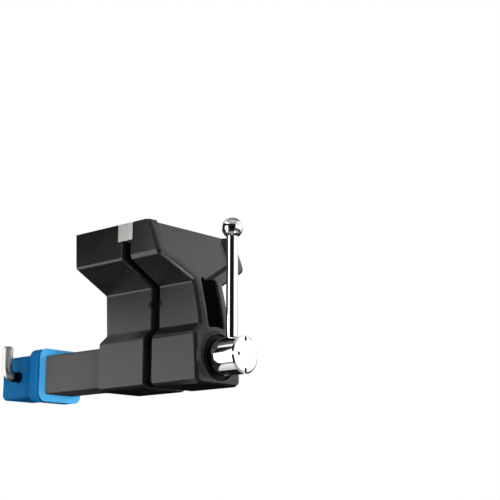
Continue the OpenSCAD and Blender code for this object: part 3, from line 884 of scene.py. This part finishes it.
# Heights of the flared lip of the bar's hole, and how much wider it gets
LIP_LOW = 21.0
LIP_TOP = 24.0
LIP_FLARE = 1.3
STOP_HOLE_R = 9.5
STOP_HOLE_TOP = -16.7
# Reach of cutters past the head, up and down
PAST_HEAD = 40.0
BALL_Z = 154.0
BALL_R = 12.7
# Height of the flat that the bar enters the ball through
BALL_FLAT = 143.6
# Rim of that flat, and depth of the hole inside it
FLAT_RIM = 0.2
BALL_HOLE = 1.5


def face_slot(turn, inner):
    """Radial slot across the rim of the head's face, round at its inner end."""
    x, z = math.cos(turn), math.sin(turn)
    outside = (inner * x, HEAD_FACE - 5, inner * z)
    inside = (inner * x, HEAD_FACE + SLOT_DEPTH, inner * z)
    piece = rod("slot", outside, inside, SLOT_HALF, sides=32)
    edit(piece)
    pick(piece, "faces", lambda f: f.normal.x * x + f.normal.z * z > 0.05)
    reach = SLOT_OUTER - inner
    extrude((reach * x, 0, reach * z))
    leave()
    return piece


def upright(name, low, high, radius, sides=64):
    """Rod along the axis of the handle's bar."""
    return rod(name, (0, BAR_Y, low), (0, BAR_Y, high), radius, sides)


def make_head():
    piece = rod("spindle_knob", (0, HEAD_FACE + CHAMFER_DEPTH, 0), (0, HEAD_BACK, 0), HEAD_R, sides=160)
    edit(piece)
    pick(piece, "faces", looks(Y, -1))
    inset(CHAMFER_WIDTH, CHAMFER_DEPTH)
    pick(piece, "edges", lambda e: rim(e, 1))
    round_off(END_ROUND, steps=2)
    leave()
    for quarter in range(4):
        cut(piece, face_slot(quarter * math.pi / 2, SLOT_INNER[quarter % 2]))
    hole = upright("bar_hole", STOP_HOLE_TOP, PAST_HEAD, BAR_HOLE_R)
    lip = upright("bar_hole_lip", LIP_LOW, LIP_TOP, BAR_HOLE_R)
    edit(lip)
    pick(lip, "faces", looks(Z, 1))
    widen(x=LIP_FLARE, y=LIP_FLARE, about=(0, BAR_Y, 0))
    leave()
    cut(piece, hole, lip, upright("stop_hole", -PAST_HEAD, STOP_HOLE_TOP, STOP_HOLE_R))
    deliver(piece, "spindle", CHROME, "chrome", "spindle_head")


def make_handle():
    bar = upright("handle_rod", BAR_LOW, BAR_TOP, BAR_R, sides=96)
    edit(bar)
    pick(bar, "edges", lambda e: len(e.link_faces) == 2 and any(map(looks(Z, -1), e.link_faces)))
    round_off(END_ROUND, steps=2)
    leave()
    deliver(bar, "handle", CHROME, "chrome", "handle_bar")
    bpy.ops.object.select_all(action="DESELECT")
    bpy.ops.mesh.primitive_uv_sphere_add(
        segments=96, ring_count=48, radius=BALL_R * MM, location=at(0, BAR_Y, BALL_Z))
    ball = named("handle_knob")
    edit(ball)
    pick_all()
    slice_at((0, BAR_Y, BALL_FLAT), (0, 0, 1), keep="outer")
    pick(ball, "faces", lambda f: looks(Z, -1)(f) and middle(f).z < BALL_FLAT + CLOSE)
    inset(FLAT_RIM, 0)
    extrude((0, 0, BALL_HOLE))
    leave()
    deliver(ball, "handle", CHROME, "chrome", "handle_ball")


make_head()
make_handle()


# Hitch pin

PIN_R = 7.0
PIN_END = 53.0
PIN_CHAMFER = 1.75
BEND_R = 12.0
LEG_X = -48.5
# Height of the bent leg without the chamfer at its top, and the height of that
LEG_TOP = 37.6
LEG_CHAMFER = 2.4
# Scale of the pin's ends beyond their chamfers
PIN_TAPER = 0.75
LEG_TAPER = 0.66
CLIP_X = 44.0
CLIP_HOLE_R = 2.0
PAST_PIN = 12.0


def ring(name, centre, radius, way, sides):
    """Starts a bent pin as an open ring about a point, square to a way."""
    bpy.ops.object.select_all(action="DESELECT")
    bpy.ops.mesh.primitive_circle_add(
        vertices=sides, radius=radius * MM, fill_type="NOTHING", location=at(*centre),
        rotation=Vector(way).to_track_quat("Z", "Y").to_euler())
    piece = named(name)
    edit(piece)
    pick_all()
    return piece


def run(move):
    bpy.ops.mesh.extrude_edges_move(TRANSFORM_OT_translate={"value": Vector(move) * MM})


def close_end(taper, centre, move):
    """Ends a bent pin in a chamfer and a cap."""
    run(move)
    widen(taper, taper, taper, centre)
    bpy.ops.mesh.edge_face_add()


def make_pin():
    start = Vector((LEG_X, PIN_Y, LEG_TOP))
    turn_x = LEG_X + BEND_R
    piece = ring("bent_pin", start, PIN_R, way=(0, 0, 1), sides=48)
    run((0, 0, BEND_R - LEG_TOP))
    bpy.ops.mesh.spin(steps=16, angle=math.radians(90), center=at(turn_x, PIN_Y, BEND_R), axis=(0, 1, 0))
    run((PIN_END - PIN_CHAMFER - turn_x, 0, 0))
    close_end(PIN_TAPER, (PIN_END, PIN_Y, 0), (PIN_CHAMFER, 0, 0))
    pick(piece, "verts", lambda v: (place(v) - start).length < PIN_R + 1 and v.is_boundary)
    close_end(LEG_TAPER, (LEG_X, PIN_Y, LEG_TOP + LEG_CHAMFER), (0, 0, LEG_CHAMFER))
    pick_all()
    bpy.ops.mesh.normals_make_consistent(inside=False)
    leave()
    cut(piece, rod("clip_hole", (CLIP_X, PIN_Y, -PAST_PIN), (CLIP_X, PIN_Y, PAST_PIN), CLIP_HOLE_R, sides=32))
    deliver(piece, "hitch_pin", PIN_ZINC, "pin_zinc", "hitch_pin")


make_pin()


# Finishes of the solids that show as they are

PLAIN_FINISHES = (
    (FASTENER, ("rear_plate_screws", "front_plate_screws", "rear_pipe_screws", "front_pipe_screws",
                "nut_screws", "beam_screws", "head_pin", "retaining_collar", "end_screw", "handle_stop")),
    (DARK_INSERT, ("rear_pipe_jaw", "front_pipe_jaw", "thrust_washer")),
    (BRONZE, ("spindle_nut", "spindle_bush")),
    (BARE_STEEL, ("slide_beam", "spindle_screw", "collar_pin", "stop_washer")),
    (ZINC, ("hitch_clip",)),
)

for finish, nodes in PLAIN_FINISHES:
    for node in nodes:
        for material_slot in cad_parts[node].material_slots:
            material_slot.material = finish


# Floor, light and camera

FLOOR_SIZE = 12.0
FLOOR_SPOT = (0, -0.2, -0.4)
# Strength of the world for scattered light, and where no light is seen in a reflection
PLAIN_LEVEL = 0.35
FLAG_LEVEL = 0.008
SENSOR = 36.0
LENS = 82.701
CAMERA_SPOT = (-985.87, -1006.19, -177.90)
CAMERA_TURN = math.radians(-48.4293)
CAMERA_TILT = math.radians(12.8531)


def make_floor():
    bpy.ops.object.select_all(action="DESELECT")
    bpy.ops.mesh.primitive_plane_add(size=FLOOR_SIZE, location=FLOOR_SPOT)
    floor = named("floor")
    pale = Finish("pale_floor")
    cloud = pale.noise(pale.where, scale=3, detail=2)
    floor.data.materials.append(pale.surface({
        "Base Color": pale.blend(cloud, grey(0.86), grey(0.9)), "Roughness": 0.8}))
    floor.visible_diffuse = False
    floor.visible_glossy = False


def make_world():
    """White ground for the camera; reflections see it between dark flags; a plain level for the rest."""
    world = bpy.data.worlds.new("studio")
    bpy.context.scene.world = world
    world.use_nodes = True
    studio = Nodes(world.node_tree)
    camera_ray = studio.add("LightPath", {}, {}, "Is Camera Ray")
    glossy_ray = studio.add("LightPath", {}, {}, "Is Glossy Ray")
    way = studio.add("TexCoord", {}, {}, "Generated")
    height = studio.add("SeparateXYZ", {}, {0: way}, "Z")

    def toward(x, y, start, full):
        """Goes from 0 to 1 as a ray turns to one side."""
        side = studio.add("VectorMath", {"operation": "DOT_PRODUCT"}, {0: way, 1: (x, y, 0)}, "Value")
        return studio.ramp(side, start, full)

    def over(start, full):
        """Goes from 0 to 1 as a ray turns up."""
        return studio.ramp(height, start, full)

    def between(low, start, end, high):
        """1 for rays between two heights, fading to 0 beyond."""
        return studio.band(height, low, start, end, high)

    # White areas that reflections see, with a dimmer level in the upper part of the one on the right
    upper = over(0.35, 0.5)
    upper_level = (0.45 + 0.55 * toward(0, 1, -0.62, -0.42)) * (1 - 0.4 * over(0.56, 0.72))
    level = 0.68 * (1 - upper) + upper * upper_level
    right = toward(0.70, -0.71, 0.44, 0.64) * over(-0.3, -0.05) * level
    right = right * (1 - toward(0.94, 0.34, 0.86, 0.96))
    strip = toward(-0.70, 0.71, 0.46, 0.6) * between(0.54, 0.62, 0.75, 0.79)
    strip = strip + 0.5 * toward(0, 1, 0.5, 0.6) * over(0.66, 0.7)
    ground = toward(-0.70, 0.71, 0.45, 0.75) * between(-0.9, -0.75, -0.3, -0.2)
    back = toward(0.70, 0.71, 0.62, 0.9) * between(0.12, 0.2, 0.35, 0.5)
    above = over(0.75, 0.9)
    near = toward(-0.75, -0.66, 0.1, 0.3) * (over(0.5, 0.65) + studio.ramp(-1 * height, 0.68, 0.8))
    low = toward(0.42, -0.91, 0.5, 0.7) * between(-0.8, -0.65, -0.5, -0.4)
    seen = FLAG_LEVEL + 1.75 * right + 1.2 * strip + 0.27 * ground + 0.9 * back
    seen = seen + 0.3 * above + 0.35 * near + 0.35 * low
    background = world.node_tree.nodes["Background"]
    studio.feed(background.inputs["Color"], grey(1))
    studio.feed(background.inputs["Strength"],
                camera_ray + glossy_ray * seen + (1 - camera_ray - glossy_ray) * PLAIN_LEVEL)


def softbox(name, spot, aim, size, power, mirrored=False, spread=180):
    """Soft lamp turned to a point, with a spread in degrees; a mirrored one shows in reflections only."""
    lamp = bpy.data.lights.new(name, "AREA")
    lamp.shape = "RECTANGLE"
    lamp.size, lamp.size_y = size
    lamp.energy = power
    lamp.spread = math.radians(spread)
    holder = bpy.data.objects.new(name, lamp)
    bpy.context.scene.collection.objects.link(holder)
    holder.location = at(*spot)
    holder.rotation_mode = "QUATERNION"
    holder.rotation_quaternion = (at(*aim) - at(*spot)).to_track_quat("-Z", "Y")
    holder.visible_camera = False
    holder.visible_glossy = mirrored
    holder.visible_diffuse = not mirrored


def make_lamps():
    softbox("left_box", spot=(-1500, 250, 150), aim=(0, 60, 40), size=(1.2, 1.2), power=5.3)
    softbox("low_box", spot=(-390, 420, -110), aim=(30, -53, -110),
            size=(0.84, 0.53), power=2.8, mirrored=True)
    softbox("bar_box", spot=(-250, 0, 140), aim=(0, -103, 85),
            size=(0.18, 0.17), power=0.16, mirrored=True)
    softbox("head_box", spot=(-43, -15, -120), aim=(-15, -110, -16),
            size=(0.09, 0.052), power=0.0092, mirrored=True)
    softbox("edge_box", spot=(-24, -192, 26), aim=(-64, -80, 114),
            size=(0.07, 0.06), power=0.019, mirrored=True, spread=50)
    softbox("front_box", spot=(-350, -1500, -150), aim=(-30, 200, 0), size=(0.9, 0.4), power=36)
    softbox("right_box", spot=(1300, -1500, 420), aim=(0, 0, 60), size=(1.4, 1.2), power=30)


def make_camera():
    camera = bpy.data.objects.new("camera", bpy.data.cameras.new("camera"))
    bpy.context.scene.collection.objects.link(camera)
    bpy.context.scene.camera = camera
    camera.data.sensor_width = SENSOR
    camera.data.lens = LENS
    camera.location = at(*CAMERA_SPOT)
    flat = math.cos(CAMERA_TILT)
    ahead = Vector((-math.sin(CAMERA_TURN) * flat, math.cos(CAMERA_TURN) * flat, math.sin(CAMERA_TILT)))
    camera.rotation_mode = "QUATERNION"
    camera.rotation_quaternion = ahead.to_track_quat("-Z", "Y")


make_floor()
make_world()
make_lamps()
make_camera()
bpy.context.scene.view_settings.view_transform = "Standard"
